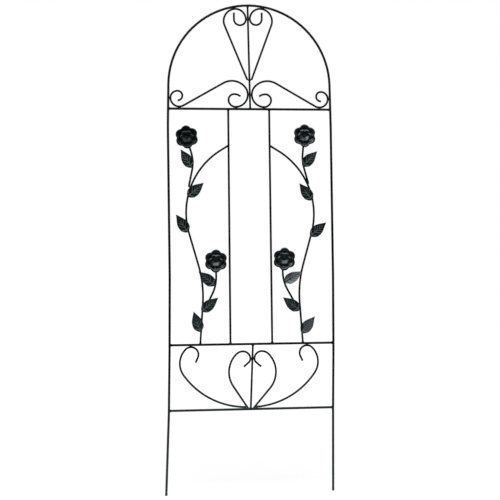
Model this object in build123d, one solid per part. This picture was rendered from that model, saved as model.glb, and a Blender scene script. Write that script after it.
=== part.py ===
from build123d import *
import math
import os

os.makedirs("parts", exist_ok=True)

# Rod radii; X runs across the panel, Z is up, the front faces -Y
FRAME_R = 3.6
BAR_R = 3.5
UPRIGHT_R = 3.15
WIRE_R = 3.05

# Frame, crossbars and uprights
ARCH_R = 244.2
ARCH_Z = 1222.2
FOOT_CHAMFER = 0.8
LEG_BEND_R = 200.0
POST_BEND_R = 1500.0
LOWER_Z = 251.0
MIDDLE_Z = 446.0
TOP_Z = 1153.0

# Posts, a little bent: X and Z of the foot and of each bend
POST_BENDS = {
    "_left": ((-259.6, 0.0), (-250.0, 243.0), (-246.6, 430.0), (-244.4, 650.0), (-246.6, 1100.0)),
    "_right": ((243.0, 0.0), (245.2, 243.0), (248.2, 430.0), (249.2, 650.0), (246.6, 1100.0)),
}

# Uprights and spindles: X at the lower end and at the upper end
UPRIGHTS = {"_left": (-64.4, -65.4), "_right": (61.6, 58.7)}
CROWN_SPINDLE = (1.2, -4.2)
BASE_SPINDLE = (-5.0, 3.1)
TOUCH = 0.05

# Crown wing scrolls
WING_LOOP_R = 37.1
WING_LOOP_TURN = 135.0
WING_BACK_R = 52.0
WING_EYE_R = 21.2
WING_EYE_INNER_R = 17.4
WING_EYE_TAIL_R = 29.4
WING_EYE_TAIL_TURN = 40.0
WING_FOOT_R = 26.0
WING_CURL_R = 21.2
WING_CURL_INNER_R = 14.4

# Crown heart scrolls
HEART_HOOK_R = 18.0
HEART_HOOK_RUN = 19.6
HEART_TOP_R = 31.2
HEART_SIDE_R = 37.0
HEART_POINT_Z = 1241.0

# Base heart scrolls
BASE_HEART_Z = 402.0
BASE_HEART_TOP_R = 22.2
BASE_HEART_SHOULDER_R = 28.6
BASE_HEART_SHOULDER_TURN = 45.0
BASE_HEART_SIDE_R = 76.0
BASE_HEART_FOOT_X = 6.2
BASE_HEART_HOOK_R = 14.5
BASE_HEART_HOOK_TURN = 49.0
BASE_HEART_HOOK_RUN = 20.0

# Base wing scrolls
BASE_WING_X = {"_left": 183.0, "_right": 167.0}
BASE_WING_TOP_R = 22.4
BASE_WING_HOOK_TURN = 115.0
BASE_WING_HOOK_RUN = 16.0
BASE_WING_SHOULDER_TURN = 45.0
BASE_WING_SIDE_R = 60.0
BASE_WING_SIDE_TURN = 80.0
BASE_WING_FOOT_X = 14.0

# Main stems, drawn from the middle crossbar to the inner upright
STEM_FOOT_X = 155.0
STEM_WAIST = (142.2, 626.9)
STEM_WAIST_R = 339.0
STEM_SHOULDER = {"_left": (232.2, 941.9), "_right": (229.4, 939.5)}
STEM_SHOULDER_R = 222.0
STEM_TIP_Z = 1043.0

# Bud stems: side, rose centre, bend, bend radius, height of the joint, step from the main stem in radii
BUDS = {
    "upper_bud_stem_left": (-1, (-191.1, 1066.7), (-169.7, 995.9), 113.0, 917.0, 1.9),
    "upper_bud_stem_right": (1, (164.6, 1071.9), (157.6, 996.2), 114.0, 926.0, 1.0),
    "lower_bud_stem_left": (-1, (-106.8, 695.8), (-105.0, 622.4), 115.0, 550.0, -1.9),
    "lower_bud_stem_right": (1, (99.5, 700.2), (91.1, 641.8), 116.0, 550.0, -1.9),
}

# Leaves
LEAF_LENGTH = 64.5
LEAF_HALF = 16.8
LEAF_WIDEST = 24.0
LEAF_CUP_R = 42.0
LEAF_SHEET = 1.2
LEAF_RIB = 0.5
LEAF_SEAT = 0.6
MIDRIB_WIDTH = 1.8
MIDRIB_LENGTH = 58.0
VEIN_WIDTH = 1.1
VEIN_LENGTH = 21.5
VEIN_ANGLE = 42.0
VEIN_STARTS = (6.0, 14.5, 23.0, 31.5, 40.0)

# Leaf places: stem, height of the base, step aside from the stem, angle from +X, roll about its length
LEAVES = {
    "leaf_left_1": ("upper_bud_stem_left", 975.7, -1.6, 121.1, 0.0),
    "leaf_left_2": ("main_stem_left", 889.0, -1.0, 40.4, 0.0),
    "leaf_left_3": ("main_stem_left", 782.4, -2.4, 123.4, 0.0),
    "leaf_left_4": ("lower_bud_stem_left", 622.9, -1.2, 139.3, 0.0),
    "leaf_left_5": ("main_stem_left", 546.2, -2.4, 38.5, 0.0),
    "leaf_left_6": ("main_stem_left", 484.7, -2.4, 107.7, 0.0),
    "leaf_right_1": ("upper_bud_stem_right", 980.7, -3.2, 45.1, 0.0),
    "leaf_right_2": ("main_stem_right", 877.5, -2.4, 126.1, 0.0),
    "leaf_right_3": ("main_stem_right", 769.0, -1.3, 40.2, 0.0),
    "leaf_right_4": ("lower_bud_stem_right", 629.9, -0.2, 31.1, -16.0),
    "leaf_right_5": ("main_stem_right", 545.5, -2.4, 142.1, 0.0),
    "leaf_right_6": ("main_stem_right", 476.6, -1.7, 50.7, -16.0),
}

# Roses: two cupped sheets of six petals on a rivet
PETALS = 6
ROSE_SHEET = 1.2
ROSE_SEAT = 0.4
OUTER_LOBE_AT = 16.6
OUTER_LOBE_R = 18.6
OUTER_CUP_AT = 6.0
OUTER_CUP_R = 42.0
INNER_LOBE_AT = 10.3
INNER_LOBE_R = 10.7
INNER_CUP_AT = 4.0
INNER_CUP_R = 17.2
INNER_LIFT = 1.5
RIVET_R = 1.5
RIVET_HEAD_R = 4.5
RIVET_HEAD_LIFT = 2.7

# Turn of each rose about its own axis
ROSES = {
    "rose_upper_left": ("upper_bud_stem_left", 5.5),
    "rose_upper_right": ("upper_bud_stem_right", 0.8),
    "rose_lower_left": ("lower_bud_stem_left", -1.8),
    "rose_lower_right": ("lower_bud_stem_right", -2.1),
}

# Welds
COLLAR_WIDTH = 1.3
COLLAR_HEIGHT = 3.2
COLLAR_LIP = 0.3
BEAD_R = 2.3
BEAD_AT = 2.7
SEAM_TURN = 90.0

# Places that follow from the sizes above
SPINDLE_SIDE = 2 * WIRE_R + TOUCH
ON_TOP_BAR = TOP_Z + BAR_R + WIRE_R
UNDER_MIDDLE_BAR = MIDDLE_Z - BAR_R - WIRE_R
ON_LOWER_BAR = LOWER_Z + BAR_R + WIRE_R
APEX_Z = ARCH_Z + ARCH_R


class Pen:
    """Draws a wire of the left half as straight runs and tangent arcs; side 1 makes its mirror image."""

    def __init__(self, x, z, heading, side):
        self.x = x
        self.z = z
        self.heading = heading
        self.side = side
        self.edges = []

    def spot(self, x, z):
        return -self.side * x, 0, z

    def run(self, length):
        angle = math.radians(self.heading)
        x = self.x + length * math.cos(angle)
        z = self.z + length * math.sin(angle)
        self.edges.append(Edge.make_line(self.spot(self.x, self.z), self.spot(x, z)))
        self.x = x
        self.z = z
        return self

    def turn(self, radius, angle):
        start = math.radians(self.heading)
        reach = math.copysign(radius, angle)
        middle_x = self.x - reach * math.sin(start)
        middle_z = self.z + reach * math.cos(start)
        places = [self.spot(self.x, self.z)]
        for share in (0.5, 1.0):
            now = start + math.radians(angle) * share
            self.x = middle_x + reach * math.sin(now)
            self.z = middle_z - reach * math.cos(now)
            places.append(self.spot(self.x, self.z))
        self.edges.append(Edge.make_three_point_arc(*places))
        self.heading += angle
        return self

    def left_centre(self, radius):
        angle = math.radians(self.heading)
        return self.x - radius * math.sin(angle), self.z + radius * math.cos(angle)

    def turn_to_point(self, radius, x, z):
        centre_x, centre_z = self.left_centre(radius)
        away = math.hypot(x - centre_x, z - centre_z)
        facing = math.degrees(math.atan2(z - centre_z, x - centre_x) + math.asin(radius / away))
        self.turn(radius, (facing - self.heading) % 360)
        return self.run(math.sqrt(away**2 - radius**2))

    def arc_to(self, x, z):
        facing = math.degrees(math.atan2(z - self.z, x - self.x))
        half = (facing - self.heading + 180) % 360 - 180
        chord = math.hypot(x - self.x, z - self.z)
        return self.turn(abs(chord / 2 / math.sin(math.radians(half))), 2 * half)


def rod(path, radius):
    section = Plane(path @ 0, z_dir=path % 0) * Circle(radius)
    return sweep(section, path=path)


def straight(start, end, radius):
    return rod(Wire([Edge.make_line(start, end)]), radius)


def between(pair, low_z, high_z, z):
    """X at a height on a straight rod whose X is given at a low and a high end."""
    return pair[0] + (pair[1] - pair[0]) * (z - low_z) / (high_z - low_z)


def crown_x(z):
    return between(CROWN_SPINDLE, TOP_Z, APEX_Z, z)


def base_x(z):
    return between(BASE_SPINDLE, LOWER_Z, MIDDLE_Z, z)


def arch_start(hand):
    """X and Z where the straight top of a post runs into the arch."""
    x, z = POST_BENDS[hand][-1]
    away = math.hypot(x, ARCH_Z - z)
    run = math.sqrt(away**2 - ARCH_R**2)
    facing = math.atan2(ARCH_Z - z, -x) + math.copysign(math.asin(ARCH_R / away), -x)
    return x + run * math.cos(facing), z + run * math.sin(facing)


def post_x(side, z):
    hand = "_left" if side < 0 else "_right"
    places = [*POST_BENDS[hand], arch_start(hand)]
    for (low_x, low_z), (high_x, high_z) in zip(places, places[1:]):
        if z <= high_z:
            return between((low_x, high_x), low_z, high_z, z)


def rounded(corners, radii):
    """Edges of straight runs between corners, with a tangent arc of the given radius at each inner corner."""
    edges = []
    here = Vector(corners[0][0], 0, corners[0][1])
    for number, radius in enumerate(radii, start=1):
        corner = Vector(corners[number][0], 0, corners[number][1])
        after = Vector(corners[number + 1][0], 0, corners[number + 1][1])
        back = (here - corner).normalized()
        ahead = (after - corner).normalized()
        half = math.radians(back.get_angle(ahead)) / 2
        first = corner + back * (radius / math.tan(half))
        last = corner + ahead * (radius / math.tan(half))
        inward = (back + ahead).normalized()
        middle = corner + inward * (radius / math.sin(half) - radius)
        edges.append(Edge.make_line(here, first))
        edges.append(Edge.make_three_point_arc(first, middle, last))
        here = last
    end = Vector(corners[-1][0], 0, corners[-1][1])
    edges.append(Edge.make_line(here, end))
    return edges


def share_at_height(path, z):
    """How far along a path, from 0 to 1, it passes a height; the path must only rise or only fall."""
    low, high = 0.0, 1.0
    rising = (path @ 1).Z > (path @ 0).Z
    for _ in range(40):
        middle = (low + high) / 2
        if ((path @ middle).Z < z) == rising:
            low = middle
        else:
            high = middle
    return (low + high) / 2


nodes = {}
SIDES = ((-1, "_left"), (1, "_right"))

# Arch frame: two posts with their legs and a half-round top; the feet are cut level
post_edges = {}
for hand in POST_BENDS:
    foot = Vector(POST_BENDS[hand][0][0], 0, 0)
    first_bend = Vector(POST_BENDS[hand][1][0], 0, POST_BENDS[hand][1][1])
    below = foot + (foot - first_bend).normalized() * FRAME_R
    corners = [(below.X, below.Z), *POST_BENDS[hand][1:], arch_start(hand)]
    post_edges[hand] = rounded(corners, (LEG_BEND_R, POST_BEND_R, POST_BEND_R, POST_BEND_R))
arch_ends = [Vector(arch_start(hand)[0], 0, arch_start(hand)[1]) for hand in POST_BENDS]
arch = Edge.make_three_point_arc(arch_ends[0], Vector(0, 0, APEX_Z), arch_ends[1])
frame_path = Wire(post_edges["_left"] + [arch] + post_edges["_right"][::-1])
frame = split(rod(frame_path, FRAME_R), bisect_by=Plane.XY, keep=Keep.TOP)
feet = frame.edges().filter_by_position(Axis.Z, 0, 0)
frame = chamfer(feet, FOOT_CHAMFER)
nodes["arch_frame"] = frame

# Crossbars, coped to the posts
bar_heights = {"top_crossbar": TOP_Z, "middle_crossbar": MIDDLE_Z, "lower_crossbar": LOWER_Z}
for name, height in bar_heights.items():
    nodes[name] = straight((post_x(-1, height), 0, height), (post_x(1, height), 0, height), BAR_R) - frame

# Inner uprights, coped to the top and middle crossbars
for hand, (low_x, high_x) in UPRIGHTS.items():
    upright = straight((low_x, 0, MIDDLE_Z), (high_x, 0, TOP_Z), UPRIGHT_R)
    nodes["upright" + hand] = upright - nodes["top_crossbar"] - nodes["middle_crossbar"]

# Spindles near the middle line
crown_spindle = straight((crown_x(TOP_Z), 0, TOP_Z), (crown_x(APEX_Z), 0, APEX_Z), WIRE_R)
nodes["crown_spindle"] = crown_spindle - frame - nodes["top_crossbar"]
base_spindle = straight((base_x(LOWER_Z), 0, LOWER_Z), (base_x(MIDDLE_Z), 0, MIDDLE_Z), WIRE_R)
nodes["base_spindle"] = base_spindle - nodes["lower_crossbar"] - nodes["middle_crossbar"]

# Crown wing scrolls: eye, loop on bar and spindle, long diagonal, foot on bar and post, outer curl
wing_loop_z = ON_TOP_BAR + WING_LOOP_R
wing_foot_z = ON_TOP_BAR + WING_FOOT_R
wing_foot_x = post_x(1, wing_foot_z) - FRAME_R - WIRE_R - WING_FOOT_R
wing_bar_xs = {}
for side, hand in SIDES:
    wing_bar_x = SPINDLE_SIDE + WING_LOOP_R + side * crown_x(wing_loop_z)
    wing_bar_xs[hand] = wing_bar_x
    eye = Pen(-wing_bar_x, ON_TOP_BAR, 180, side)
    eye.turn(WING_EYE_R, -90).turn(WING_EYE_INNER_R, -90).turn(WING_EYE_TAIL_R, -WING_EYE_TAIL_TURN)
    wing = Pen(-wing_bar_x, ON_TOP_BAR, 0, side).turn(WING_LOOP_R, WING_LOOP_TURN)
    back_x, back_z = wing.left_centre(WING_BACK_R)
    foot_dx = -wing_foot_x - back_x
    foot_dz = wing_foot_z - back_z
    spread = math.hypot(foot_dx, foot_dz)
    both_r = WING_BACK_R + WING_FOOT_R
    diagonal = math.degrees(math.atan2(foot_dz, foot_dx) + math.asin(both_r / spread)) % 360
    wing.turn(WING_BACK_R, diagonal - wing.heading).run(math.sqrt(spread**2 - both_r**2))
    wing.turn(WING_FOOT_R, 90 - diagonal).turn(WING_CURL_R, -90).turn(WING_CURL_INNER_R, -180)
    nodes["crown_wing" + hand] = rod(Wire(eye.edges[::-1] + wing.edges), WIRE_R)

# Crown heart scrolls: hook, lobe against the spindle and under the arch, long side down to the spindle
heart_reach = ARCH_R - FRAME_R - WIRE_R - HEART_TOP_R
heart_zs = {}
arch_leans = {}
for side, hand in SIDES:
    touch_x = SPINDLE_SIDE + side * crown_x(ARCH_Z + heart_reach)
    heart_x = touch_x + HEART_TOP_R
    heart_z = ARCH_Z + math.sqrt(heart_reach**2 - heart_x**2)
    arch_lean = math.degrees(math.asin(heart_x / heart_reach))
    heart_zs[hand] = heart_z
    arch_leans[hand] = math.radians(arch_lean)
    hook = Pen(-touch_x, heart_z, 270, side).turn(HEART_HOOK_R, -180).run(HEART_HOOK_RUN)
    heart = Pen(-touch_x, heart_z, 90, side).turn(HEART_TOP_R, 90 + arch_lean)
    point_x = SPINDLE_SIDE + side * crown_x(HEART_POINT_Z)
    heart.turn_to_point(HEART_SIDE_R, -point_x, HEART_POINT_Z)
    nodes["crown_heart" + hand] = rod(Wire(hook.edges[::-1] + heart.edges), WIRE_R)

# Base heart scrolls: hook, lobe against the spindle, long side down to the lower crossbar
heart_feet = {}
for side, hand in SIDES:
    touch_x = SPINDLE_SIDE + side * base_x(BASE_HEART_Z)
    foot_x = BASE_HEART_FOOT_X + side * base_x(LOWER_Z)
    hook = Pen(-touch_x, BASE_HEART_Z, 270, side)
    hook.turn(BASE_HEART_HOOK_R, -BASE_HEART_HOOK_TURN).run(BASE_HEART_HOOK_RUN)
    heart = Pen(-touch_x, BASE_HEART_Z, 90, side).turn(BASE_HEART_TOP_R, 90)
    heart.turn(BASE_HEART_SHOULDER_R, BASE_HEART_SHOULDER_TURN)
    heart.turn_to_point(BASE_HEART_SIDE_R, -foot_x, LOWER_Z)
    heart_feet[hand] = foot_x - BAR_R / math.tan(math.radians(heart.heading))
    base_heart = rod(Wire(hook.edges[::-1] + heart.edges), WIRE_R)
    nodes["base_heart" + hand] = base_heart - nodes["lower_crossbar"]

# Base wing scrolls: hook, top under the middle crossbar, long curve down to the foot of the heart
wing_feet = {}
for side, hand in SIDES:
    hook = Pen(-BASE_WING_X[hand], UNDER_MIDDLE_BAR, 0, side)
    hook.turn(BASE_WING_TOP_R, -BASE_WING_HOOK_TURN).run(BASE_WING_HOOK_RUN)
    wing = Pen(-BASE_WING_X[hand], UNDER_MIDDLE_BAR, 180, side)
    wing.turn(BASE_WING_TOP_R, BASE_WING_SHOULDER_TURN).turn(BASE_WING_SIDE_R, BASE_WING_SIDE_TURN)
    wing_feet[hand] = BASE_WING_FOOT_X + side * base_x(LOWER_Z)
    wing.arc_to(-wing_feet[hand], ON_LOWER_BAR)
    base_wing = rod(Wire(hook.edges[::-1] + wing.edges), WIRE_R)
    nodes["base_wing" + hand] = base_wing - nodes["lower_crossbar"] - nodes["base_heart" + hand]

# Main stems, coped to the middle crossbar and the inner uprights
paths = {}
for side, hand in SIDES:
    tip_x = between(UPRIGHTS[hand], MIDDLE_Z, TOP_Z, STEM_TIP_Z)
    corners = [(STEM_FOOT_X, MIDDLE_Z), STEM_WAIST, STEM_SHOULDER[hand], (side * tip_x, STEM_TIP_Z)]
    path = Wire(rounded([(side * x, z) for x, z in corners], (STEM_WAIST_R, STEM_SHOULDER_R)))
    paths["main_stem" + hand] = path
    nodes["main_stem" + hand] = rod(path, WIRE_R) - nodes["middle_crossbar"] - nodes["upright" + hand]

# Bud stems, laid against the side of the main stem
bud_joints = []
for name, (side, rose, bend, bend_r, joint_z, step) in BUDS.items():
    main_stem = "main_stem_left" if side < 0 else "main_stem_right"
    main = paths[main_stem]
    share = share_at_height(main, joint_z)
    along = main % share
    outward = Vector(along.Z, 0, -along.X) * side * step * WIRE_R
    bud_joints.append(main @ share + outward / 2)
    end = main @ share + outward
    paths[name] = Wire(rounded([rose, bend, (end.X, end.Z)], (bend_r,)))
    nodes[name] = rod(paths[name], WIRE_R) - nodes[main_stem]


def placed(solid, path, z, aside, depth, angle, roll):
    """Set a piece on the front of a stem: local X along its length, local Z to the front."""
    spot = path @ share_at_height(path, z)
    turn = math.radians(angle)
    seat = Plane(
        (spot.X + aside, -WIRE_R + depth, spot.Z),
        x_dir=(math.cos(turn), 0, math.sin(turn)),
        z_dir=(0, -1, 0),
    )
    return seat.location * Rot(roll, 0, 0) * solid


# Leaf: a pointed oval cut from a gutter-shaped sheet, with a raised midrib and side veins
leaf_sides = []
for hand in (1, -1):
    leaf_sides.append(
        Edge.make_spline(
            [(0, 0, 0), (LEAF_WIDEST, hand * LEAF_HALF, 0), (LEAF_LENGTH, 0, 0)],
            tangents=[(0.25, hand, 0), (1, -0.5 * hand, 0)],
        )
    )
outline = extrude(make_face(leaf_sides), amount=LEAF_HALF)
outline = Pos(0, 0, -LEAF_SHEET) * outline
gutter = Pos(LEAF_LENGTH / 2, 0, LEAF_CUP_R) * Rot(0, 90, 0)
outside = gutter * Cylinder(LEAF_CUP_R, 2 * LEAF_LENGTH)
blade = outside - gutter * Cylinder(LEAF_CUP_R - LEAF_SHEET, 2 * LEAF_LENGTH)
ribbed = outside - gutter * Cylinder(LEAF_CUP_R - LEAF_SHEET - LEAF_RIB, 2 * LEAF_LENGTH)
low = (Align.MIN, Align.CENTER, Align.CENTER)
ribs = Box(MIDRIB_LENGTH, MIDRIB_WIDTH, 2 * LEAF_HALF, align=low)
for start in VEIN_STARTS:
    for hand in (1, -1):
        vein = Box(VEIN_LENGTH, VEIN_WIDTH, 2 * LEAF_HALF, align=low)
        ribs += Pos(start, 0, 0) * Rot(0, 0, hand * VEIN_ANGLE) * vein
leaf = (outline & blade) + (outline & ribs & ribbed)

for name, (stem, height, aside, angle, roll) in LEAVES.items():
    piece = placed(leaf, paths[stem], height, aside, LEAF_SEAT, angle, roll)
    for other in paths:
        if other.split("_")[-1] == stem.split("_")[-1]:
            piece -= nodes[other]
    nodes[name] = piece


def corolla(lobe_at, lobe_r, cup_at, cup_r):
    """Six cupped petals, each one sector of a hollow sphere trimmed to a round lobe; opens towards +Z."""
    outer_r = cup_r + ROSE_SHEET
    shell = Pos(cup_at, 0, outer_r) * (Sphere(outer_r) - Sphere(cup_r))
    lobe = Pos(lobe_at, 0, outer_r / 2) * Cylinder(lobe_r, outer_r)
    reach = 2 * (lobe_at + lobe_r)
    half = math.radians(180 / PETALS)
    out_x = reach * math.cos(half)
    out_y = reach * math.sin(half)
    sector = extrude(make_face(Polyline((0, 0), (out_x, out_y), (out_x, -out_y), close=True)), amount=outer_r)
    petal = shell & lobe & sector
    whole = petal
    for number in range(1, PETALS):
        whole += Rot(0, 0, number * 360 / PETALS) * petal
    return whole - Cylinder(RIVET_R, 2 * outer_r)


# Roses on the ends of the bud stems
outer_corolla = corolla(OUTER_LOBE_AT, OUTER_LOBE_R, OUTER_CUP_AT, OUTER_CUP_R)
half_petal = Rot(0, 0, 180 / PETALS)
inner_corolla = half_petal * corolla(INNER_LOBE_AT, INNER_LOBE_R, INNER_CUP_AT, INNER_CUP_R)
inner_corolla = Pos(0, 0, INNER_LIFT) * inner_corolla - outer_corolla
up = (Align.CENTER, Align.CENTER, Align.MIN)
head = Pos(0, 0, RIVET_HEAD_LIFT) * Sphere(RIVET_HEAD_R)
head &= Pos(0, 0, RIVET_HEAD_LIFT) * Cylinder(RIVET_HEAD_R, 2 * RIVET_HEAD_R, align=up)
rivet = head - inner_corolla + Cylinder(RIVET_R, RIVET_HEAD_LIFT + 1, align=up)

rivets = []
for name, (stem, turn) in ROSES.items():
    centre_z = (paths[stem] @ 0).Z
    for part, solid in (("outer", outer_corolla), ("inner", inner_corolla), ("rivet", rivet)):
        piece = placed(solid, paths[stem], centre_z, 0, ROSE_SEAT, 90 + turn, 0) - nodes[stem]
        if part == "rivet":
            rivets.append(piece.solid())
        else:
            nodes[name + "_" + part] = piece
nodes["rose_rivets"] = Compound(rivets)


def collar(place, direction, radius, cut):
    """A tapered weld around the end of a rod that stands on another rod; the place is on the rod's axis."""
    ring = Cone(radius + COLLAR_WIDTH, radius + COLLAR_LIP, COLLAR_HEIGHT, align=up)
    ring -= Cylinder(radius, 3 * COLLAR_HEIGHT)
    ring = Plane(place, z_dir=direction).location * ring
    for other in cut:
        ring -= other
    return ring.solids()


def beads(x, z, cut, ways=(-1, 1)):
    """Weld beads in the groove where two rods touch, on the front (-1) and the back (1)."""
    found = []
    for way in ways:
        bead = Pos(x, way * BEAD_AT, z) * Rot(0, 0, way * SEAM_TURN) * Sphere(BEAD_R)
        for other in cut:
            bead -= other
        found += bead.solids()
    return found


# Frame welds: bar ends on the posts, upright and spindle ends
frame_welds = []
for name, height in bar_heights.items():
    for side in (-1, 1):
        place = (post_x(side, height) - side * FRAME_R, 0, height)
        frame_welds += collar(place, (-side, 0, 0), BAR_R, [frame])
standing = [(UPRIGHTS[hand], MIDDLE_Z, TOP_Z, UPRIGHT_R, nodes["top_crossbar"]) for _, hand in SIDES]
standing += [(BASE_SPINDLE, LOWER_Z, MIDDLE_Z, WIRE_R, nodes["middle_crossbar"])]
standing += [(CROWN_SPINDLE, TOP_Z, APEX_Z, WIRE_R, frame)]
bar_at = {height: nodes[name] for name, height in bar_heights.items()}
for pair, low_z, high_z, radius, above in standing:
    lift = Vector(pair[1] - pair[0], 0, high_z - low_z).normalized()
    below = bar_at[low_z]
    head_r = FRAME_R if high_z == APEX_Z else BAR_R
    frame_welds += collar(Vector(pair[0], 0, low_z) + lift * BAR_R, lift, radius, [below])
    frame_welds += collar(Vector(pair[1], 0, high_z) - lift * head_r, -lift, radius, [above])
nodes["frame_welds"] = Compound(frame_welds)

# Scroll welds: where the wires touch bars, posts, arch and spindles
crown_welds = []
base_welds = []
for side, hand in SIDES:
    rim = ARCH_R - FRAME_R
    arch_x = side * rim * math.sin(arch_leans[hand])
    arch_z = ARCH_Z + rim * math.cos(arch_leans[hand])
    wing = nodes["crown_wing" + hand]
    heart = nodes["crown_heart" + hand]
    crown_touches = [
        (side * wing_bar_xs[hand], TOP_Z + BAR_R, wing, "top_crossbar"),
        (side * wing_foot_x, TOP_Z + BAR_R, wing, "top_crossbar"),
        (post_x(side, wing_foot_z) - side * FRAME_R, wing_foot_z, wing, "arch_frame"),
        (crown_x(wing_loop_z) + side * WIRE_R, wing_loop_z, wing, "crown_spindle"),
        (crown_x(heart_zs[hand]) + side * WIRE_R, heart_zs[hand], heart, "crown_spindle"),
        (arch_x, arch_z, heart, "arch_frame"),
        (crown_x(HEART_POINT_Z) + side * WIRE_R, HEART_POINT_Z, heart, "crown_spindle"),
    ]
    for x, z, wire, other in crown_touches:
        crown_welds += beads(x, z, [wire, nodes[other]])
    wing = nodes["base_wing" + hand]
    heart = nodes["base_heart" + hand]
    base_touches = [
        (base_x(BASE_HEART_Z) + side * WIRE_R, BASE_HEART_Z, heart, "base_spindle"),
        (side * heart_feet[hand], LOWER_Z + BAR_R, heart, "lower_crossbar"),
        (side * BASE_WING_X[hand], MIDDLE_Z - BAR_R, wing, "middle_crossbar"),
        (side * (wing_feet[hand] + WIRE_R), LOWER_Z + BAR_R, wing, "lower_crossbar"),
    ]
    for x, z, wire, other in base_touches:
        base_welds += beads(x, z, [wire, nodes[other]])
nodes["crown_welds"] = Compound(crown_welds)
nodes["base_welds"] = Compound(base_welds)

# Stem welds: feet, tips and bud stem joints
stem_welds = []
for side, hand in SIDES:
    path = paths["main_stem" + hand]
    upright = nodes["upright" + hand]
    foot_share = share_at_height(path, MIDDLE_Z + BAR_R)
    stem_welds += collar(path @ foot_share, path % foot_share, WIRE_R, [nodes["middle_crossbar"]])
    lift = path % 1
    tip = path @ 1 - lift * (UPRIGHT_R / abs(lift.X))
    stem_welds += collar(tip, -lift, WIRE_R, [upright])
for touch, name in zip(bud_joints, BUDS):
    main = nodes["main_stem_left" if touch.X < 0 else "main_stem_right"]
    stem_welds += beads(touch.X, touch.Z, [main, nodes[name]], ways=(1,))
nodes["stem_welds"] = Compound(stem_welds)

for name, solid in nodes.items():
    export_step(solid, f"parts/{name}.step")
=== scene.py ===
import math
import bmesh
import bpy
from mathutils import Matrix, Vector


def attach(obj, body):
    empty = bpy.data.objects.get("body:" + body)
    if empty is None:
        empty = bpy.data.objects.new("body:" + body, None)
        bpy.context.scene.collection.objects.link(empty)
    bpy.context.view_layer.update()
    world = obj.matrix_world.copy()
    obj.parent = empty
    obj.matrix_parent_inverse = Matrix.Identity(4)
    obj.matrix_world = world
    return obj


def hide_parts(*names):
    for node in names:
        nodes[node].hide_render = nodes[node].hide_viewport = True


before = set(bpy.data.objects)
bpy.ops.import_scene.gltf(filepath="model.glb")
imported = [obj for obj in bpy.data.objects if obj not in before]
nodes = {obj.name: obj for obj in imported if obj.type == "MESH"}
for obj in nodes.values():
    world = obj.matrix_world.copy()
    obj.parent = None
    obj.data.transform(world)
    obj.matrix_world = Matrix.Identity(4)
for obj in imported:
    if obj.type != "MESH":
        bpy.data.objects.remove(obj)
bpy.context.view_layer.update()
scene = bpy.context.scene
MM = 0.001

# Leaf blank: half width of the outline at places along the midrib, in mm
LEAF_OUTLINE = (
    (0.0, 0.0), (0.6, 3.0), (2.1, 5.9), (4.2, 9.0), (6.2, 11.0), (10.4, 14.0),
    (14.5, 15.7), (18.7, 16.6), (24.0, 17.0), (29.0, 16.6), (35.3, 15.1),
    (39.5, 13.5), (45.7, 10.4), (52.0, 6.9), (58.2, 3.5), (64.8, 0.0),
)
LEAF_TIP = 64.0
LEAF_SHEET = 1.2
LEAF_CUP_R = 42.0

# Stamped veins: where they leave the midrib, half width and height in mm
VEINS = (7.0, 16.5, 26.0, 35.5, 45.0)
VEIN_SIDE = 0.9
VEIN_RISE = 0.95
MIDRIB_SIDE = 0.9
MIDRIB_RISE = 1.2
EDGE_DROP = 0.35

# Rows from midrib to edge, as shares of a vein's length, with the share of a vein's height there;
# the second row is the side of the midrib, which MIDRIB_SIDE sets
LEAF_ROWS = (0.0, None, 0.34, 0.58, 0.8, 0.94, 1.0)
VEIN_FADE = (1.0, 1.0, 1.0, 0.95, 0.7, 0.25, 0.0)

# Wear of the coat at the leaf's edge, which on the shiny leaf is painted shade, and taper and limit of the
# painted shade on the shiny leaf's veins
EDGE_WEAR = 0.45
VEIN_TAPER = 0.85
PAINTED_SHADE_VEIN_LIMIT = 0.12

# Leaf places: X and Z of the base on its stem, angle from +X, roll about its own length, curl of the tip
LEAVES = {
    "leaf_left_1": (-175.8, 975.7, 121.1, 0.0, 5.0),
    "leaf_left_2": (-189.6, 889.0, 40.4, 0.0, 3.0),
    "leaf_left_3": (-189.0, 782.4, 123.4, 0.0, 6.0),
    "leaf_left_4": (-109.8, 622.9, 139.3, 0.0, 4.0),
    "leaf_left_5": (-150.3, 546.2, 38.5, 0.0, 5.0),
    "leaf_left_6": (-154.7, 484.7, 107.7, 0.0, 7.0),
    "leaf_right_1": (158.7, 980.7, 45.1, 0.0, 4.0),
    "leaf_right_2": (186.3, 877.5, 126.1, 0.0, 6.0),
    "leaf_right_3": (180.5, 769.0, 40.2, 0.0, 5.0),
    "leaf_right_4": (100.4, 629.9, 31.1, -20.0, 3.0),
    "leaf_right_5": (145.6, 545.5, 142.1, 0.0, 5.0),
    "leaf_right_6": (151.1, 476.6, 50.7, -15.5, 4.0),
}
LEAF_DEPTH = -2.45
# Leaves whose pale coat is painted sheen; the first also has painted shade on its veins
PAINTED_SHEEN_LEAF = "leaf_right_4"
PAINTED_SATIN_SHEEN_LEAF = "leaf_right_6"

# Rose sheets: radius of each ring, its height on a petal's middle line and on the
# crease between petals, in mm; a lobe is how far out a petal's round end lies and its radius
OUTER_RINGS = (
    (2.0, 1.2, 1.2), (6.0, 1.4, 1.6), (11.0, 1.7, 2.3), (16.0, 2.2, 3.2), (19.5, 2.9, 4.2),
    (22.0, 3.7, 5.2), (24.0, 5.0, 6.4), (26.0, 6.5, 7.8), (28.0, 8.3, 9.2), (29.8, 9.4, 9.8),
    (31.8, 9.8, 10.1), (33.8, 9.2, 9.6), (35.3, 8.4, 9.0),
)
OUTER_LOBE = (19.4, 15.9)
INNER_RINGS = (
    (2.0, 2.9, 2.9), (4.0, 3.3, 3.3), (6.5, 4.7, 4.7), (9.0, 6.2, 6.2), (11.5, 7.7, 7.6),
    (13.6, 8.9, 8.6), (15.2, 9.4, 8.8), (16.8, 9.4, 8.4), (18.4, 9.1, 7.8), (20.0, 8.6, 7.2),
    (21.0, 8.2, 6.9),
)
INNER_LOBE = (11.6, 9.4)
PETAL_STEPS = 8
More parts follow.
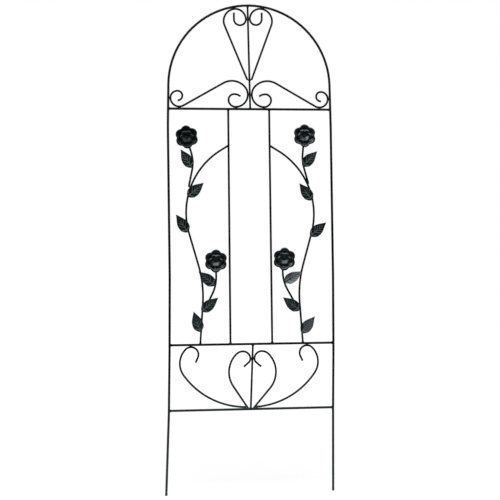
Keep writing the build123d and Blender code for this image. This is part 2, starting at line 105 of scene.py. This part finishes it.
ROSE_SHEET = 1.1
ROSE_DEPTH = -2.65
PETAL_CREASE = 0.85
RIM_WEAR = 0.08
NEAR_RIM_WEAR = 0.03

# Rose places: X and Z of the middle, turn from upright
ROSES = {
    "rose_upper_left": (-191.1, 1066.7, 5.5),
    "rose_upper_right": (164.6, 1071.9, 0.8),
    "rose_lower_left": (-106.8, 695.8, -1.8),
    "rose_lower_right": (99.5, 700.2, -2.1),
}
# Roses with a darker copy of the petal coat: painted shade
PAINTED_SHADE_ROSES = ("rose_upper_left",)

# Rivets: head radius, height of the head above the stem, shank, and depth of the hammer marks, in mm
RIVET_R = 4.4
RIVET_LIFT = 2.8
RIVET_SHANK = 1.6
RIVET_FLAT = 0.55
HAMMER_SPAN = 2.2
HAMMER_DEPTH = 0.5

# Welds: size of the cells they are remade in, span and depth of their ripples, in mm
WELD_GRAIN = 0.36
RIPPLE_SPAN = 1.1
RIPPLE_DEPTH = 0.6


def only(piece):
    """Leave one piece selected and active."""
    bpy.ops.object.select_all(action="DESELECT")
    piece.select_set(True)
    bpy.context.view_layer.objects.active = piece


def pick(mesh, test):
    """Select the points of an open mesh that pass a test of their place."""
    bpy.ops.mesh.select_all(action="DESELECT")
    for point in mesh.verts:
        point.select_set(test(point.co))
    mesh.select_flush_mode()


def finish_with(piece, kind, **values):
    """Add a modifier, set it and apply it."""
    only(piece)
    modifier = piece.modifiers.new(kind.title(), kind)
    for name, value in values.items():
        setattr(modifier, name, value)
    bpy.ops.object.modifier_apply(modifier=modifier.name)


def rounded(piece, levels):
    finish_with(piece, "SUBSURF", levels=levels, render_levels=levels)


def copied(piece, name):
    """A copy of a model with its own mesh."""
    copy = piece.copy()
    copy.data = piece.data.copy()
    copy.name = name
    copy.data.name = name
    scene.collection.objects.link(copy)
    return copy


def set_down(piece, place):
    """Move a model to its place, with the place kept in its mesh."""
    piece.data.transform(place)
    piece.matrix_world = Matrix.Identity(4)


def on_front(x, z, depth, angle):
    """A place on the front of a stem: local X along the piece, local Z to the front."""
    turn = math.radians(angle)
    along = Vector((math.cos(turn), 0, math.sin(turn)))
    front = Vector((0, -1, 0))
    across = front.cross(along)
    seat = Matrix((along, across, front)).transposed().to_4x4()
    seat.translation = Vector((x, depth, z)) * MM
    return seat


# Coats

# Colour painted on the lowest parts as painted light from below, and tint of the highlights
PAINTED_LIGHT_FROM_BELOW = (0.036, 0.05, 0.053)
SLATE = (0.80, 0.95, 1.0)

# Darker and lighter tone of each coat
ROD_BLACK = ((0.0022, 0.0028, 0.0031), (0.0048, 0.006, 0.0066))
WELD_BLACK = ((0.0022, 0.0028, 0.0031), (0.005, 0.0062, 0.0067))
PETAL_BLACK = ((0.0012, 0.0022, 0.0025), (0.003, 0.0048, 0.0054))
LEAF_BLACK = ((0.002, 0.0034, 0.0038), (0.0045, 0.0068, 0.0076))
# Pale tones of two leaves that tilt to the lamp: painted sheen
PAINTED_SHEEN_GREY = ((0.02, 0.026, 0.028), (0.034, 0.043, 0.046))
PAINTED_SATIN_SHEEN_GREY = ((0.014, 0.018, 0.02), (0.024, 0.031, 0.034))

# Colour of the coat where it is worn; on leaf vein crests the pale one is also painted highlight and the dark
# one painted shade
SCUFF = (0.03, 0.034, 0.036)
PALE_VEIN_WEAR_AND_HIGHLIGHT = (0.16, 0.182, 0.19)
PAINTED_SHADE_CREST = (0.001, 0.0014, 0.0016)

# Scale of each noise in the coats, and depth of the orange peel in metres
CLOUDING = 14.0
GLOSS_PATCHES = 55.0
RUBBING = 90.0
DUST = 640.0
PEEL = 900.0
PEEL_DEPTH = 0.00006
# Height in metres where the painted light from below is strongest
LIGHT_FROM_BELOW_LOW = 0.06


def coat(name, tones, gloss, shine, peel, wear_and_painted_light, light_from_below_top=0.44):
    """Satin powder coat: uneven tone, orange peel, dust, painted light from below near the ground, and crest
    colour: scuffs, painted highlight on leaf veins, painted shade on the shiny leaf.
    """
    dark, light = tones
    made = bpy.data.materials.new(name)
    made.use_nodes = True
    tree = made.node_tree
    shader = tree.nodes["Principled BSDF"]
    shader.inputs["Metallic"].default_value = 0.0
    shader.inputs["Specular IOR Level"].default_value = shine
    shader.inputs["Specular Tint"].default_value = SLATE + (1.0,)
    place = tree.nodes.new("ShaderNodeTexCoord").outputs["Object"]

    def noise(scale, detail):
        node = tree.nodes.new("ShaderNodeTexNoise")
        node.inputs["Scale"].default_value = scale
        node.inputs["Detail"].default_value = detail
        tree.links.new(place, node.inputs["Vector"])
        return node.outputs["Fac"]

    def spread(value, low, high, to_low, to_high):
        node = tree.nodes.new("ShaderNodeMapRange")
        sockets = ("From Min", "From Max", "To Min", "To Max")
        for socket, number in zip(sockets, (low, high, to_low, to_high)):
            node.inputs[socket].default_value = number
        tree.links.new(value, node.inputs["Value"])
        return node.outputs["Result"]

    def blend(share, first, second):
        node = tree.nodes.new("ShaderNodeMix")
        node.data_type = "RGBA"
        tree.links.new(share, node.inputs["Factor"])
        for socket, value in (("A", first), ("B", second)):
            slot = next(s for s in node.inputs if s.name == socket and s.type == "RGBA")
            if isinstance(value, tuple):
                slot.default_value = value + (1.0,)
            else:
                tree.links.new(value, slot)
        return next(s for s in node.outputs if s.type == "RGBA")

    tone = blend(spread(noise(CLOUDING, 4.0), 0.35, 0.68, 0.0, 1.0), dark, light)
    specks = spread(noise(DUST, 1.0), 0.7, 0.78, 0.0, 0.35)
    tone = blend(specks, tone, tuple(3.5 * c for c in light))
    height = tree.nodes.new("ShaderNodeSeparateXYZ")
    tree.links.new(place, height.inputs["Vector"])
    # Painted light from below: the coat is lighter towards the floor
    tone = blend(spread(height.outputs["Z"], LIGHT_FROM_BELOW_LOW, light_from_below_top, 0.85, 0.0), tone, PAINTED_LIGHT_FROM_BELOW)
    # Crest colour from the mesh: wear on rose rims and leaf edges, painted highlight on leaf veins, painted
    # shade on the shiny leaf's veins
    wear_and_light_mask = tree.nodes.new("ShaderNodeAttribute")
    wear_and_light_mask.attribute_name = "wear_and_painted_light"
    wear_and_light_share = tree.nodes.new("ShaderNodeMath")
    wear_and_light_share.operation = "MULTIPLY"
    tree.links.new(wear_and_light_mask.outputs["Fac"], wear_and_light_share.inputs[0])
    tree.links.new(spread(noise(RUBBING, 3.0), 0.3, 0.62, 0.35, 1.0), wear_and_light_share.inputs[1])
    tone = blend(wear_and_light_share.outputs["Value"], tone, wear_and_painted_light)
    tree.links.new(tone, shader.inputs["Base Color"])
    rough = spread(noise(GLOSS_PATCHES, 4.0), 0.3, 0.7, gloss - 0.07, gloss + 0.09)
    tree.links.new(rough, shader.inputs["Roughness"])
    bump = tree.nodes.new("ShaderNodeBump")
    bump.inputs["Strength"].default_value = peel
    bump.inputs["Distance"].default_value = PEEL_DEPTH
    tree.links.new(noise(PEEL, 2.0), bump.inputs["Height"])
    tree.links.new(bump.outputs["Normal"], shader.inputs["Normal"])
    return made


rod_coat = coat(
    "rod_coat_black", ROD_BLACK, gloss=0.4, shine=0.14, peel=0.25, wear_and_painted_light=SCUFF
)
ornament_coat = coat(
    "ornament_coat_black", PETAL_BLACK, gloss=0.32, shine=0.7, peel=0.22, wear_and_painted_light=(0.09, 0.107, 0.113)
)
# Darker copy of the petal coat, with less shine and a darker rim colour: painted shade
painted_shade_dull_coat = coat(
    "ornament_coat_dull_painted_shade", PETAL_BLACK, gloss=0.33, shine=0.24, peel=0.22, wear_and_painted_light=(0.05, 0.06, 0.063)
)
leaf_coat = coat(
    "ornament_coat_leaf", LEAF_BLACK, gloss=0.37, shine=0.18, peel=0.22, wear_and_painted_light=PALE_VEIN_WEAR_AND_HIGHLIGHT, light_from_below_top=0.7
)
painted_sheen_coat = coat(
    "ornament_coat_painted_sheen", PAINTED_SHEEN_GREY, gloss=0.42, shine=1.0, peel=0.22, wear_and_painted_light=PAINTED_SHADE_CREST
)
painted_satin_sheen_coat = coat(
    "ornament_coat_satin_painted_sheen", PAINTED_SATIN_SHEEN_GREY, gloss=0.42, shine=0.42, peel=0.22, wear_and_painted_light=PALE_VEIN_WEAR_AND_HIGHLIGHT
)
# Dark coat for the shiny leaf's vein faces: painted shade on the vein ridges
painted_shade_vein_coat = coat(
    "ornament_coat_vein_painted_shade", LEAF_BLACK, gloss=0.42, shine=0.15, peel=0.22, wear_and_painted_light=PAINTED_SHADE_CREST
)
weld_coat = coat(
    "weld_coat_black", WELD_BLACK, gloss=0.44, shine=0.18, peel=0.5, wear_and_painted_light=SCUFF
)
coats = {"rod_coat": rod_coat, "ornament_coat": ornament_coat, "weld_coat": weld_coat}
for node in nodes.values():
    for slot in node.material_slots:
        slot.material = coats[slot.material.name]


# Leaves


def half_width(x):
    """Half width of the leaf at a place along its midrib, in mm."""
    for (low_x, low_w), (high_x, high_w) in zip(LEAF_OUTLINE, LEAF_OUTLINE[1:]):
        if x <= high_x:
            return low_w + (high_w - low_w) * (x - low_x) / (high_x - low_x)
    return 0.0


def vein_end(start):
    """Where a side vein that starts at a place on the midrib meets the leaf's edge."""
    slant = math.radians(92.0 - 50.0 * min(1.0, start / 14.0) - 12.0 * max(0.0, start - 14.0) / 40.0)
    low, high = 0.0, 40.0
    for _ in range(30):
        reach = (low + high) / 2
        if reach * math.sin(slant) < half_width(start + reach * math.cos(slant)):
            low = reach
        else:
            high = reach
    return start + low * math.cos(slant), low * math.sin(slant)


def leaf_columns():
    """Lines across the leaf from base to tip: start on the midrib, and how far it is a vein's crest."""
    columns = [(0.5, 0.0), (2.2, 0.0)]
    for number, vein in enumerate(VEINS):
        columns += [(vein - VEIN_SIDE, 0.0), (vein, 1.0), (vein + VEIN_SIDE, 0.0)]
        if number + 1 < len(VEINS):
            columns.append(((vein + VEINS[number + 1]) / 2, -0.22))
    return columns + [(54.0, 0.0), (57.5, 0.0), (60.0, 0.0), (LEAF_TIP, 0.0)]


def leaf_model():
    """Stamped leaf: a grid drawn out along its veins, with the ribs raised, then given its thickness."""
    columns = leaf_columns()
    rows = len(LEAF_ROWS) - 1
    away = -1.0
    bpy.ops.object.select_all(action="DESELECT")
    bpy.ops.mesh.primitive_grid_add(
        x_subdivisions=len(columns) - 1, y_subdivisions=2 * rows, size=1, location=(0, 0, away)
    )
    leaf = bpy.context.object
    bpy.ops.object.transform_apply(location=True)
    leaf.data.attributes.new("wear_and_painted_light", "FLOAT", "POINT")
    leaf.data.attributes.new("vein", "FLOAT", "POINT")
    bpy.ops.object.mode_set(mode="EDIT")
    mesh = bmesh.from_edit_mesh(leaf.data)
    wear_and_light_mask = mesh.verts.layers.float["wear_and_painted_light"]
    vein_shade_mask = mesh.verts.layers.float["vein"]
    for column, (start, crest) in enumerate(columns):
        grid_x = column / (len(columns) - 1) - 0.5
        end_x, end_y = vein_end(start)
        reach = math.hypot(end_x - start, end_y)
        for row, share in enumerate(LEAF_ROWS):
            if share is None:
                share = min(0.3, MIDRIB_SIDE / reach)
            grid_y = 0.5 * row / rows
            x = start + (end_x - start) * share
            y = end_y * share
            ridge = VEIN_RISE * crest * VEIN_FADE[row] * min(1.0, reach / 9.0)
            if row == 0:
                ridge = MIDRIB_RISE * min(1.0, (62.0 - start) / 14.0) + 0.25 * max(0.0, ridge)
            if row == rows:
                ridge = -EDGE_DROP
            z = LEAF_SHEET + y * y / (2 * LEAF_CUP_R) + ridge
            # Crest value: where wear, painted highlight and painted shade go
            wear_and_painted_light = vein = 1.0
            if row:
                wear_and_painted_light = max(0.0, crest) * VEIN_FADE[row]
                vein = max(0.0, crest) * (1.0 - VEIN_TAPER * share) * (start > VEINS[0])
            if row == rows:
                wear_and_painted_light = EDGE_WEAR
            for way in (-1, 1) if row else (1,):
                spot = Vector((grid_x, way * grid_y, away))
                pick(mesh, lambda place: (place - spot).length < 1e-4)
                for point in mesh.verts:
                    if point.select:
                        point[wear_and_light_mask] = wear_and_painted_light
                        point[vein_shade_mask] = vein
                bpy.ops.transform.translate(value=Vector((x, way * y, z)) * MM - spot)
    bpy.ops.mesh.select_all(action="SELECT")
    bpy.ops.mesh.normals_make_consistent(inside=False)
    bpy.ops.object.mode_set(mode="OBJECT")
    finish_with(leaf, "SOLIDIFY", thickness=LEAF_SHEET * MM, offset=-1.0, use_even_offset=False)
    rounded(leaf, 2)
    bpy.ops.object.shade_smooth()
    leaf.data.materials.append(leaf_coat)
    return leaf


leaf = leaf_model()
for name, (x, z, angle, roll, curl) in LEAVES.items():
    piece = copied(leaf, name + "_stamped")
    finish_with(piece, "SIMPLE_DEFORM", deform_method="BEND", deform_axis="Y", angle=math.radians(curl))
    set_down(piece, on_front(x, z, LEAF_DEPTH, angle) @ Matrix.Rotation(math.radians(roll), 4, "X"))
    # Painted sheen: paler coats on two leaves
    if name == PAINTED_SATIN_SHEEN_LEAF:
        piece.data.materials[0] = painted_satin_sheen_coat
    if name == PAINTED_SHEEN_LEAF:
        piece.data.materials[0] = painted_sheen_coat
        piece.data.materials.append(painted_shade_vein_coat)
        # Faces along the veins get the dark coat: painted shade
        vein_shade_mask = piece.data.attributes["vein"].data
        for face in piece.data.polygons:
            if sum(vein_shade_mask[corner].value for corner in face.vertices) > PAINTED_SHADE_VEIN_LIMIT * len(face.vertices):
                face.material_index = 1
    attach(piece, "root")
    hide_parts(name)
bpy.data.objects.remove(leaf)


# Roses


def lobe_reach(lobe, angle):
    """Distance from the middle to a round lobe's edge, at an angle from the lobe's middle line."""
    at, radius = lobe
    return at * math.cos(angle) + math.sqrt(radius**2 - (at * math.sin(angle)) ** 2)


def corolla_model(rings, lobe, turn):
    """One stamped sheet of six spoon-shaped petals: rings drawn out from a hole, then lobed and creased."""
    around = 6 * PETAL_STEPS
    bpy.ops.object.select_all(action="DESELECT")
    hole_r, hole_z, _ = rings[0]
    bpy.ops.mesh.primitive_circle_add(vertices=around, radius=hole_r * MM, location=(0, 0, hole_z * MM))
    sheet = bpy.context.object
    bpy.ops.object.transform_apply(location=True)
    sheet.data.attributes.new("wear_and_painted_light", "FLOAT", "POINT")
    bpy.ops.object.mode_set(mode="EDIT")
    bpy.ops.mesh.select_all(action="SELECT")
    for (low_r, low_z, _), (high_r, high_z, _) in zip(rings, rings[1:]):
        bpy.ops.mesh.extrude_region_move(TRANSFORM_OT_translate={"value": (0, 0, (high_z - low_z) * MM)})
        grow = high_r / low_r
        bpy.ops.transform.resize(value=(grow, grow, 1), center_override=(0, 0, 0))
    mesh = bmesh.from_edit_mesh(sheet.data)
    wear_and_light_mask = mesh.verts.layers.float["wear_and_painted_light"]
    rim_r = rings[-1][0]
    for number, (ring_r, middle_z, crease_z) in enumerate(rings):
        share = max(0.0, (ring_r / rim_r - 0.25) / 0.75)
        for step in range(PETAL_STEPS // 2 + 1):
            off = step / (PETAL_STEPS / 2)

            def on_line(place):
                radius = math.hypot(place.x, place.y)
                angle = math.degrees(math.atan2(place.y, place.x)) % 60
                return abs(radius - ring_r * MM) < 2e-5 and abs(min(angle, 60 - angle) - 30 * off) < 0.5

            pick(mesh, on_line)
            for point in mesh.verts:
                if point.select and number > len(rings) - 4:
                    point[wear_and_light_mask] = RIM_WEAR if number == len(rings) - 2 else NEAR_RIM_WEAR
            shrink = 1 - (1 - lobe_reach(lobe, math.radians(30 * off)) / rim_r) * share
            bpy.ops.transform.translate(value=(0, 0, (crease_z - middle_z) * off**2 * MM))
            bpy.ops.transform.resize(value=(shrink, shrink, 1), center_override=(0, 0, 0))
    bpy.ops.mesh.select_mode(type="EDGE")
    bpy.ops.mesh.select_all(action="DESELECT")
    for edge in mesh.edges:
        ends = [math.degrees(math.atan2(point.co.y, point.co.x)) % 60 for point in edge.verts]
        edge.select_set(all(abs(angle - 30) < 0.5 for angle in ends))
    bpy.ops.transform.edge_crease(value=PETAL_CREASE)
    bpy.ops.mesh.select_mode(type="VERT")
    bpy.ops.mesh.select_all(action="SELECT")
    bpy.ops.mesh.normals_make_consistent(inside=False)
    bpy.ops.object.mode_set(mode="OBJECT")
    if sum(face.normal.z for face in sheet.data.polygons) < 0:
        sheet.data.flip_normals()
    finish_with(sheet, "SOLIDIFY", thickness=ROSE_SHEET * MM, offset=-1.0, use_even_offset=False)
    rounded(sheet, 2)
    bpy.ops.object.shade_smooth()
    set_down(sheet, Matrix.Rotation(math.radians(turn), 4, "Z"))
    sheet.data.materials.append(ornament_coat)
    return sheet


outer_sheet = corolla_model(OUTER_RINGS, OUTER_LOBE, 0.0)
inner_sheet = corolla_model(INNER_RINGS, INNER_LOBE, 30.0)
for name, (x, z, turn) in ROSES.items():
    for part, model in (("outer", outer_sheet), ("inner", inner_sheet)):
        piece = copied(model, f"{name}_{part}_petals")
        set_down(piece, on_front(x, z, ROSE_DEPTH, 90 + turn))
        if name in PAINTED_SHADE_ROSES:
            piece.data.materials[0] = painted_shade_dull_coat
        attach(piece, "root")
        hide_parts(f"{name}_{part}")
bpy.data.objects.remove(outer_sheet)
bpy.data.objects.remove(inner_sheet)


# Rivets

hammering = bpy.data.textures.new("hammer_marks", "CLOUDS")
hammering.noise_scale = HAMMER_SPAN * MM


def rivet_model():
    """Peened rivet: a ball with its underside cut off, its crown hammered flat and its edge drawn out."""
    bpy.ops.object.select_all(action="DESELECT")
    bpy.ops.mesh.primitive_uv_sphere_add(segments=32, ring_count=20, radius=RIVET_R * MM)
    head = bpy.context.object
    bpy.ops.object.mode_set(mode="EDIT")
    mesh = bmesh.from_edit_mesh(head.data)
    pick(mesh, lambda place: place.z < -0.2 * MM)
    bpy.ops.mesh.delete(type="VERT")
    mesh = bmesh.from_edit_mesh(head.data)
    flat_z = RIVET_FLAT * RIVET_R * MM
    pick(mesh, lambda place: place.z > flat_z)
    bpy.ops.transform.resize(value=(1, 1, 0.3), center_override=(0, 0, flat_z))
    pick(mesh, lambda place: place.z < 0.2 * MM)
    bpy.ops.mesh.extrude_region_move(TRANSFORM_OT_translate={"value": (0, 0, -RIVET_SHANK * MM)})
    bpy.ops.transform.resize(value=(0.4, 0.4, 1), center_override=(0, 0, -RIVET_SHANK * MM))
    bpy.ops.mesh.edge_face_add()
    bpy.ops.mesh.select_all(action="SELECT")
    bpy.ops.mesh.normals_make_consistent(inside=False)
    bpy.ops.object.mode_set(mode="OBJECT")
    rounded(head, 2)
    finish_with(
        head, "DISPLACE", texture=hammering, strength=HAMMER_DEPTH * MM, mid_level=0.5, texture_coords="LOCAL"
    )
    bpy.ops.object.shade_smooth()
    set_down(head, Matrix.Translation((0, 0, RIVET_LIFT * MM)))
    return head


rivet = rivet_model()
rivets = []
for name, (x, z, turn) in ROSES.items():
    rivets.append(copied(rivet, name + "_rivet"))
    set_down(rivets[-1], on_front(x, z, ROSE_DEPTH, 90 + turn))
bpy.data.objects.remove(rivet)
bpy.ops.object.select_all(action="DESELECT")
for piece in rivets:
    piece.select_set(True)
bpy.context.view_layer.objects.active = rivets[0]
bpy.ops.object.join()
rivets[0].name = "rose_rivets_peened"
rivets[0].data.materials.append(weld_coat)
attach(rivets[0], "root")
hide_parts("rose_rivets")


# Welds

ripple = bpy.data.textures.new("weld_ripple", "CLOUDS")
ripple.noise_scale = RIPPLE_SPAN * MM
for name in ("frame_welds", "crown_welds", "base_welds", "stem_welds"):
    piece = copied(nodes[name], name + "_rippled")
    set_down(piece, nodes[name].matrix_world.copy())
    only(piece)
    bpy.ops.object.mode_set(mode="EDIT")
    bpy.ops.mesh.select_all(action="SELECT")
    bpy.ops.mesh.remove_doubles(threshold=1e-6)
    bpy.ops.object.mode_set(mode="OBJECT")
    finish_with(piece, "REMESH", mode="VOXEL", voxel_size=WELD_GRAIN * MM)
    finish_with(piece, "SMOOTH", factor=0.5, iterations=3)
    finish_with(
        piece, "DISPLACE", texture=ripple, strength=RIPPLE_DEPTH * MM, mid_level=0.75, texture_coords="LOCAL"
    )
    only(piece)
    bpy.ops.object.shade_smooth()
    piece.data.materials.clear()
    piece.data.materials.append(weld_coat)
    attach(piece, "root")
    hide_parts(name)


# Camera: fitted to the photograph, 3 m in front of the panel

CAMERA_AT = 3.0
CAMERA_LENS = 71.81
CAMERA_AIM = Vector((-0.00313, 0, 0.7283))
CAMERA_YAW = math.radians(-5.78)
CAMERA_PITCH = math.radians(-0.862)
CAMERA_ROLL = math.radians(-0.505)
side = Vector((math.cos(CAMERA_YAW), math.sin(CAMERA_YAW), 0))
level = Vector((-math.sin(CAMERA_YAW), math.cos(CAMERA_YAW), 0))
ahead = level * math.cos(CAMERA_PITCH) - Vector((0, 0, math.sin(CAMERA_PITCH)))
above = Vector((0, 0, math.cos(CAMERA_PITCH))) + level * math.sin(CAMERA_PITCH)
right = side * math.cos(CAMERA_ROLL) + above * math.sin(CAMERA_ROLL)
up = above * math.cos(CAMERA_ROLL) - side * math.sin(CAMERA_ROLL)
lens = bpy.data.cameras.new("photo_camera")
lens.sensor_width = 36.0
lens.lens = CAMERA_LENS
camera = bpy.data.objects.new("photo_camera", lens)
scene.collection.objects.link(camera)
pose = Matrix((right, up, -ahead)).transposed().to_4x4()
pose.translation = CAMERA_AIM - ahead * CAMERA_AT
camera.matrix_world = pose
scene.camera = camera


# Studio: white surroundings, pale floor, one large soft lamp above the front and a weak one behind

# Strength of the surroundings for matt surfaces, and for mirror rays to the front, the sides and the back
FILL = 0.38
FRONT_ROOM = 0.05
SIDE_WALLS = 0.3
BACKDROP = 1.0

# Glow of the floor as the camera sees it, near the panel and far from it, and in mirror rays behind the panel
FLOOR_NEAR = 0.55
FLOOR_FAR = 0.9
FLOOR_BEHIND = 0.5
FLOOR_GREY = 0.5
FLOOR_FRONT_GREY = 0.05


def lamp(name, place, aim, size, watts):
    """A soft rectangular lamp turned towards a point."""
    light = bpy.data.lights.new(name, "AREA")
    light.shape = "RECTANGLE"
    light.size, light.size_y = size
    light.energy = watts
    stand = bpy.data.objects.new(name, light)
    scene.collection.objects.link(stand)
    stand.location = place
    stand.rotation_euler = (Vector(aim) - Vector(place)).to_track_quat("-Z", "Y").to_euler()


lamp("top_lamp", (-0.1, -1.5, 2.7), (0, 0, 0.9), (5.4, 1.2), 100.0)
lamp("back_lamp", (0.8, 2.4, 2.4), (0, 0, 0.8), (1.6, 1.0), 3.0)


def ray_kinds(tree):
    """1 for camera and transmission rays, and 1 for glossy rays."""
    path = tree.nodes.new("ShaderNodeLightPath")
    seen = tree.nodes.new("ShaderNodeMath")
    seen.operation = "MAXIMUM"
    tree.links.new(path.outputs["Is Camera Ray"], seen.inputs[0])
    tree.links.new(path.outputs["Is Transmission Ray"], seen.inputs[1])
    return seen.outputs["Value"], path.outputs["Is Glossy Ray"]


def step_between(tree, value, low, high, to_low, to_high):
    """A value mapped from one range to another; the ends of the second range may be sockets."""
    node = tree.nodes.new("ShaderNodeMapRange")
    sockets = ("From Min", "From Max", "To Min", "To Max")
    for socket, number in zip(sockets, (low, high, to_low, to_high)):
        if isinstance(number, (int, float)):
            node.inputs[socket].default_value = number
        else:
            tree.links.new(number, node.inputs[socket])
    tree.links.new(value, node.inputs["Value"])
    return node.outputs["Result"]


world = bpy.data.worlds.new("white_studio")
scene.world = world
world.use_nodes = True
sky = world.node_tree
backdrop = sky.nodes["Background"]
backdrop.inputs["Color"].default_value = (1, 1, 1, 1)
seen, mirrored = ray_kinds(sky)
way = sky.nodes.new("ShaderNodeSeparateXYZ")
sky.links.new(sky.nodes.new("ShaderNodeTexCoord").outputs["Generated"], way.inputs["Vector"])
wide = sky.nodes.new("ShaderNodeMath")
wide.operation = "ABSOLUTE"
sky.links.new(way.outputs["X"], wide.inputs[0])
walls = step_between(sky, wide.outputs["Value"], 0.6, 0.9, FRONT_ROOM, SIDE_WALLS)
room = step_between(sky, way.outputs["Y"], -0.3, 0.1, walls, BACKDROP)
strength = step_between(sky, mirrored, 0, 1, FILL, room)
strength = step_between(sky, seen, 0, 1, strength, BACKDROP)
sky.links.new(strength, backdrop.inputs["Strength"])

bpy.ops.object.select_all(action="DESELECT")
bpy.ops.mesh.primitive_plane_add(size=14.0)
floor = bpy.context.object
floor.name = "floor"
paper = bpy.data.materials.new("floor_paper")
paper.use_nodes = True
ground = paper.node_tree
ground_shader = ground.nodes["Principled BSDF"]
ground_shader.inputs["Roughness"].default_value = 0.9
ground_shader.inputs["Specular IOR Level"].default_value = 0.0
ground_shader.inputs["Emission Color"].default_value = (1, 1, 1, 1)
seen, mirrored = ray_kinds(ground)
spot = ground.nodes.new("ShaderNodeTexCoord").outputs["Object"]
away = ground.nodes.new("ShaderNodeVectorMath")
away.operation = "LENGTH"
ground.links.new(spot, away.inputs[0])
spot_way = ground.nodes.new("ShaderNodeSeparateXYZ")
ground.links.new(spot, spot_way.inputs["Vector"])
behind = step_between(ground, spot_way.outputs["Y"], -0.5, 0.1, 0.0, 1.0)
glow = step_between(ground, away.outputs["Value"], 0.3, 4.0, FLOOR_NEAR, FLOOR_FAR)
mirror_glow = step_between(ground, behind, 0, 1, 0.0, FLOOR_BEHIND)
strength = step_between(ground, mirrored, 0, 1, 0.0, mirror_glow)
strength = step_between(ground, seen, 0, 1, strength, glow)
ground.links.new(strength, ground_shader.inputs["Emission Strength"])
mirror_shade = step_between(ground, behind, 0, 1, FLOOR_FRONT_GREY, FLOOR_GREY)
shade = step_between(ground, mirrored, 0, 1, FLOOR_GREY, mirror_shade)
grey = ground.nodes.new("ShaderNodeCombineColor")
for socket in ("Red", "Green", "Blue"):
    ground.links.new(shade, grey.inputs[socket])
ground.links.new(grey.outputs["Color"], ground_shader.inputs["Base Color"])
floor.data.materials.append(paper)

scene.view_settings.view_transform = "Standard"
